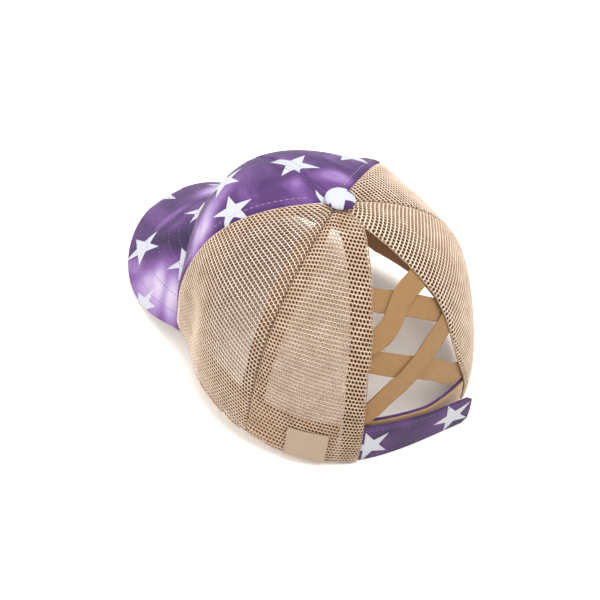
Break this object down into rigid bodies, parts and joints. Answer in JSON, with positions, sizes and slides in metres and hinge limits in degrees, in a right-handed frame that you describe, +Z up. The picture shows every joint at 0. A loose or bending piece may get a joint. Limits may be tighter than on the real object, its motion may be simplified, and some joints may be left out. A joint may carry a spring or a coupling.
{
  "type": "ponytail baseball cap",
  "caption": "Child-size baseball cap with star-print front and peak, net back panels, and a ponytail opening crossed by elastic bands.",
  "frame": {"origin": "middle of the head opening, on the surface that the cap rests on", "axes": "+Z up, -Y towards the peak, +Y towards the open back, +X towards the wearer's left"},
  "size_m": [0.1691, 0.2357, 0.1171],
  "materials": {
    "printed_cotton": "matte woven cotton, tie-dyed purple with white stars",
    "net": "matte knitted polyester net, beige",
    "sweatband_cloth": "matte brushed cloth, tan",
    "elastic": "ribbed woven elastic, tan",
    "tape": "hook-and-loop tape, tan",
    "faux_suede": "matte faux suede, beige, blank"
  },
  "bodies": {
    "root": {"front_panel_left": "printed_cotton", "front_panel_right": "printed_cotton", "side_panel_left": "net", "side_panel_right": "net", "back_panel_left": "net", "back_panel_right": "net", "peak": "printed_cotton", "button": "printed_cotton", "sweatband": "sweatband_cloth", "elastic_band_a": "elastic", "elastic_band_b": "elastic", "elastic_band_c": "elastic", "elastic_band_d": "elastic", "closure_tab_outer": "printed_cotton", "closure_hook_tape": "tape", "closure_loop_tape": "tape", "closure_tab_inner": "printed_cotton", "label_patch": "faux_suede"}
  },
  "joints": []
}
